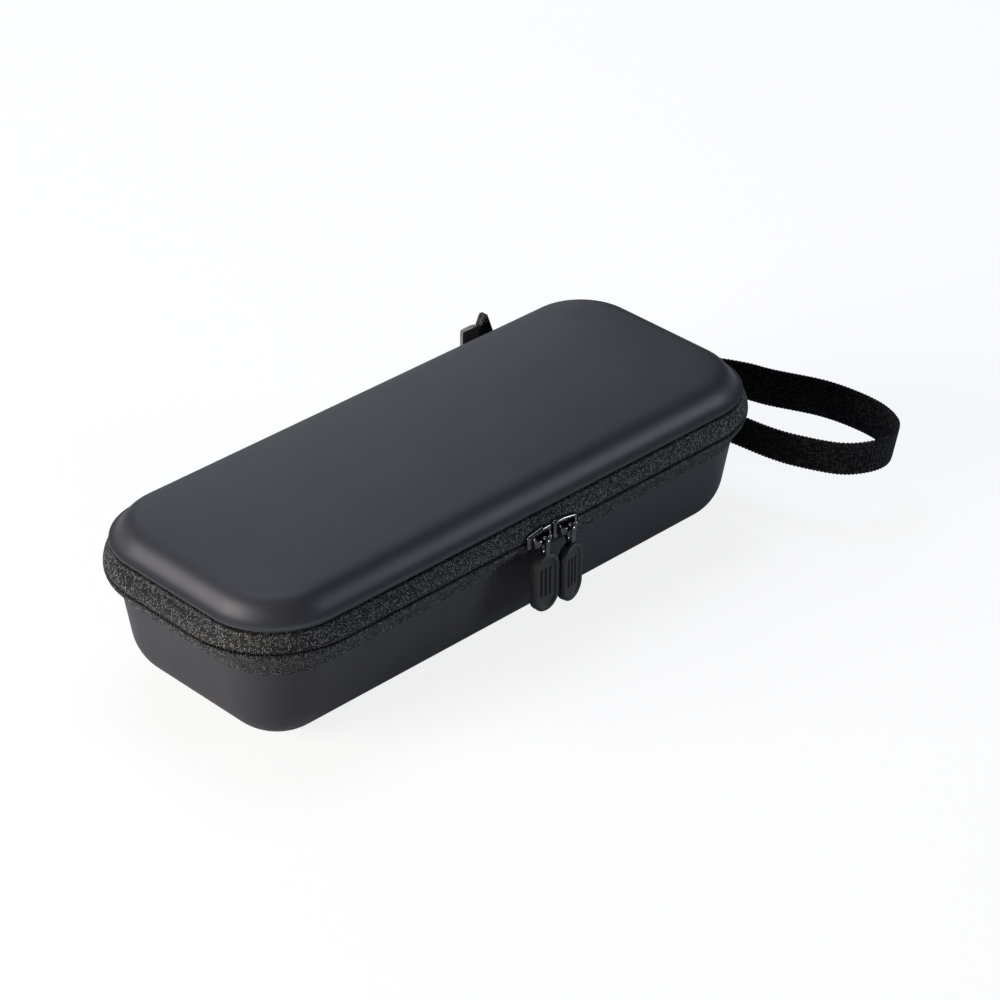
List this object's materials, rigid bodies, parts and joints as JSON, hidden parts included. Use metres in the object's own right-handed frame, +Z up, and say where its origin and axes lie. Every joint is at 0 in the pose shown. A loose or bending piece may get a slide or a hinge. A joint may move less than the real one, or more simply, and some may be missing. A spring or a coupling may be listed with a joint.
{
  "type": "instrument case",
  "caption": "Moulded zip-around hard case with a hinged crowned lid, twin zip sliders with rubber pulls, a cut foam insert and a webbing hand strap.",
  "frame": {"origin": "middle of the flat underside of the base", "axes": "+Z up, +X along the length towards the hand strap, -Y towards the side where the sliders meet"},
  "size_m": [0.2981, 0.1362, 0.0633],
  "materials": {
    "shell_skin": "soft-touch polyurethane skin over moulded foam",
    "lining_knit": "brushed knit lining",
    "binding_tape": "ribbed binding tape",
    "foam": "fine closed-cell foam",
    "zip_tape": "coarse woven zip tape",
    "zip_coil": "nylon coil",
    "slider_metal": "black nickel plate",
    "clamp_metal": "grey plated steel",
    "grip_rubber": "matt moulded rubber",
    "webbing": "ribbed webbing"
  },
  "bodies": {
    "base": {"base_shell": "shell_skin", "base_lining": "lining_knit", "base_binding": "binding_tape", "foam_insert": "foam", "zip_tape_lower": "zip_tape", "zip_coil_lower": "zip_coil", "hinge_strip_lower": "zip_tape", "strap_anchor": "webbing"},
    "lid": {"lid_shell": "shell_skin", "lid_lining": "lining_knit", "lid_binding": "binding_tape", "lid_pad": "foam", "zip_tape_upper": "zip_tape", "zip_coil_upper": "zip_coil", "hinge_strip_upper": "zip_tape", "zip_end_clamp": "clamp_metal", "zip_end_tail": "zip_tape"},
    "left_slider": {"left_slider_body": "slider_metal", "left_slider_crown": "slider_metal"},
    "right_slider": {"right_slider_body": "slider_metal", "right_slider_crown": "slider_metal"},
    "left_pull": {"left_pull_link": "slider_metal", "left_pull_grip": "grip_rubber"},
    "right_pull": {"right_pull_link": "slider_metal", "right_pull_grip": "grip_rubber"},
    "strap": {"wrist_strap": "webbing"}
  },
  "joints": [
    {"name": "lid_hinge", "type": "hinge", "parent": "base", "child": "lid", "pos_m": [0, 0.0521, 0.0456], "axis": [-1, 0, 0], "range_deg": [0, 120]},
    {"name": "left_slide", "type": "slide", "parent": "base", "child": "left_slider", "axis": [-1, 0, 0], "range_m": [0, 0.07]},
    {"name": "right_slide", "type": "slide", "parent": "base", "child": "right_slider", "axis": [1, 0, 0], "range_m": [0, 0.065]},
    {"name": "left_pull_swing", "type": "hinge", "parent": "left_slider", "child": "left_pull", "pos_m": [-0.0022, -0.0557, 0.0456], "axis": [-1, 0, 0], "range_deg": [-3, 150]},
    {"name": "right_pull_swing", "type": "hinge", "parent": "right_slider", "child": "right_pull", "pos_m": [0.0102, -0.0557, 0.0456], "axis": [-1, 0, 0], "range_deg": [-3, 150]},
    {"name": "strap_swing", "type": "hinge", "parent": "base", "child": "strap", "pos_m": [0.12162, 0.01039, 0.0264], "axis": [0, 0, 1], "range_deg": [0, 80]}
  ]
}
